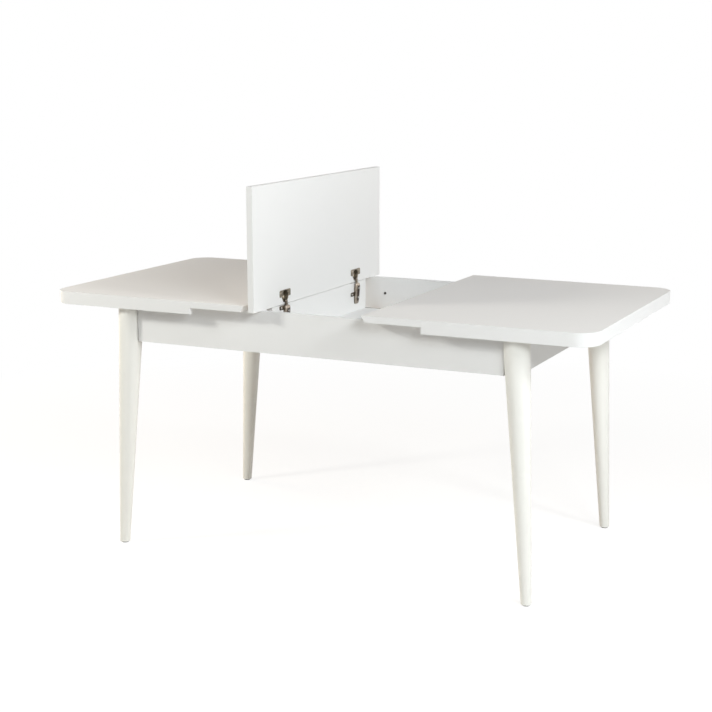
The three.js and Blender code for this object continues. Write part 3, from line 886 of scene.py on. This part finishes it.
def bent_strip(path, half_width, thickness):
    """A strip of sheet: its oblong section carried along a path of distances proud and up, its short
    sides square to the path's own direction at each point."""
    path = np.asarray(path, float)
    along = np.gradient(path, axis=0)
    along /= np.linalg.norm(along, axis=1, keepdims=True)
    square = np.stack([-along[:, 1], along[:, 0]], 1) * thickness / 2
    edges = []
    for width, side in ((-1, -1), (1, -1), (1, 1), (-1, 1)):
        proud, up = (path + side * square).T
        edges.append(np.stack([np.full(len(path), width * half_width), up, proud], 1))
    return np.stack(edges, 1)


def pillow(stations, firmness=4.0):
    """A body along the upright: at each station's height a superellipse between its back and its front,
    as wide as its half-width, whose sine and cosine are raised to two over the firmness."""
    height, back, front, half_width = np.asarray(stations, float).T[:, :, None]
    angle = small_turn
    cosine, sine = (np.sign(part) * abs(part) ** (2 / firmness) for part in (np.cos(angle), np.sin(angle)))
    proud = (back + front) / 2 + (front - back) / 2 * cosine
    return np.stack([half_width * sine, height + 0.0 * angle, proud], -1)


rise = [(0.0066, -0.0060), (0.0052, -0.0020), (0.0046, 0.0020)]
over = arc((0.0016, 0.0080), 0.0030, 0, 90, 8)
neck_path = np.vstack([rise, over, [(-0.0060, 0.0110), pivot]])
# Painted light: the arm's nickel is paler than the cup's and the plate's, as its lit side. The cap's near
# black, shared with the browned square rings, is a painted dark reflection on the arm's outer face.
arm_painted_lit_nickel = nickel("arm_nickel_painted_light", (0.46, 0.40, 0.34), (0.28, 0.235, 0.19))
neck_finish = nickel("neck_nickel", (0.20, 0.165, 0.13), (0.10, 0.08, 0.062))
browned_and_painted_reflection = nickel("cap_browned_painted_reflection", (0.075, 0.050, 0.042), (0.035, 0.024, 0.020))
for name, across in hinges.items():
    neck = skin(f"{name}_neck", on_hinge(bent_strip(neck_path, neck_half, neck_thickness), across))
    finished(neck, neck_finish, "frame", (), neck_arris)
    curl = [(knuckle_radius - knuckle_ease, -neck_half), (knuckle_radius, knuckle_ease - neck_half)]
    curl += [(radius, -height) for radius, height in reversed(curl)]
    centre = on_hinge([(0.0, pivot[1], pivot[0])], across)[0]
    knuckle = skin(f"{name}_knuckle", stood(turned(curl, 28), centre, (0, 1, 0)))
    finished(knuckle, neck_finish, "frame", (), 0.0)
    arm = skin(f"{name}_arm_body", on_hinge(pillow(arm_stations), across))
    finished(arm, arm_painted_lit_nickel, "frame", [f"{name}_arm"], 0.0, 40)
    cap = skin(f"{name}_cap", on_hinge(pillow(cap_stations, 5.0), across))
    finished(cap, browned_and_painted_reflection, "frame", (), 0.0, 40)
    places = on_hinge(adjuster_places, across)
    adjusters = screw_heads(f"{name}_adjusters", places, (1, 0, 0), adjuster_radius)
    finished(adjusters, steel, "frame", (), 0.0, 30)


# ---------------------------------------------------------------------------------------------
# Hinge plates. A steel plate behind each arm, screwed to the left cross board. A wing towards the
# table's front, high on one hinge and low on the other, has a browned square ring and a screw.
# ---------------------------------------------------------------------------------------------
wing_levels = {"front_hinge": -0.0088, "back_hinge": -0.0370}
wing_reach = 0.034
wing_half = 0.0062
spine_half = 0.010
spine_top = -0.016
ring_place = -0.027
ring_half = 0.0058
plate_screw_radius = 0.0040


def plate_rings(name, level):
    """Plate and wing as one pressing: seen from the wing's middle, the farther of two oblongs."""
    angle = np.linspace(0.0, 2 * np.pi, 96, endpoint=False)
    wing = oblong(angle, wing_reach, wing_half, wing_half, right=spine_half)
    plate_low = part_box(f"{name}_plate")[0].z - seam
    edge = np.maximum(wing, oblong(angle, spine_half, max(spine_top - level, wing_half), level - plate_low))
    return stacked(angle, (0.0, level), [
        (edge - 0.0002, 0.0003), (edge, 0.0006), (edge, 0.0018),
        (edge - 0.0004, 0.0022), (edge * 0.5, 0.0022),
    ])


def square_ring_rings(level):
    """A flat square ring with round corners: up its outside, over its face, and into its round hole."""
    edge = oblong(small_turn, ring_half, ring_half, ring_half)
    return stacked(small_turn, (ring_place, level), [
        (edge, 0.0022), (edge, 0.0029), (edge - 0.0006, 0.0033),
        (0.0044, 0.0033), (0.0043, 0.0024),
    ])


for name, across in hinges.items():
    level = wing_levels[name]
    plate = skin(f"{name}_winged_plate", on_hinge(plate_rings(name, level), across))
    finished(plate, plate_finish, "frame", [f"{name}_plate"], 0.0, 30)
    square_ring = skin(f"{name}_square_ring", on_hinge(square_ring_rings(level), across))
    finished(square_ring, browned_and_painted_reflection, "frame", (), 0.0, 30)
    places = on_hinge([(ring_place, level, 0.0032)], across)
    plate_screw = screw_heads(f"{name}_plate_screw", places, (1, 0, 0), plate_screw_radius)
    finished(plate_screw, steel, "frame", (), 0.0, 30)
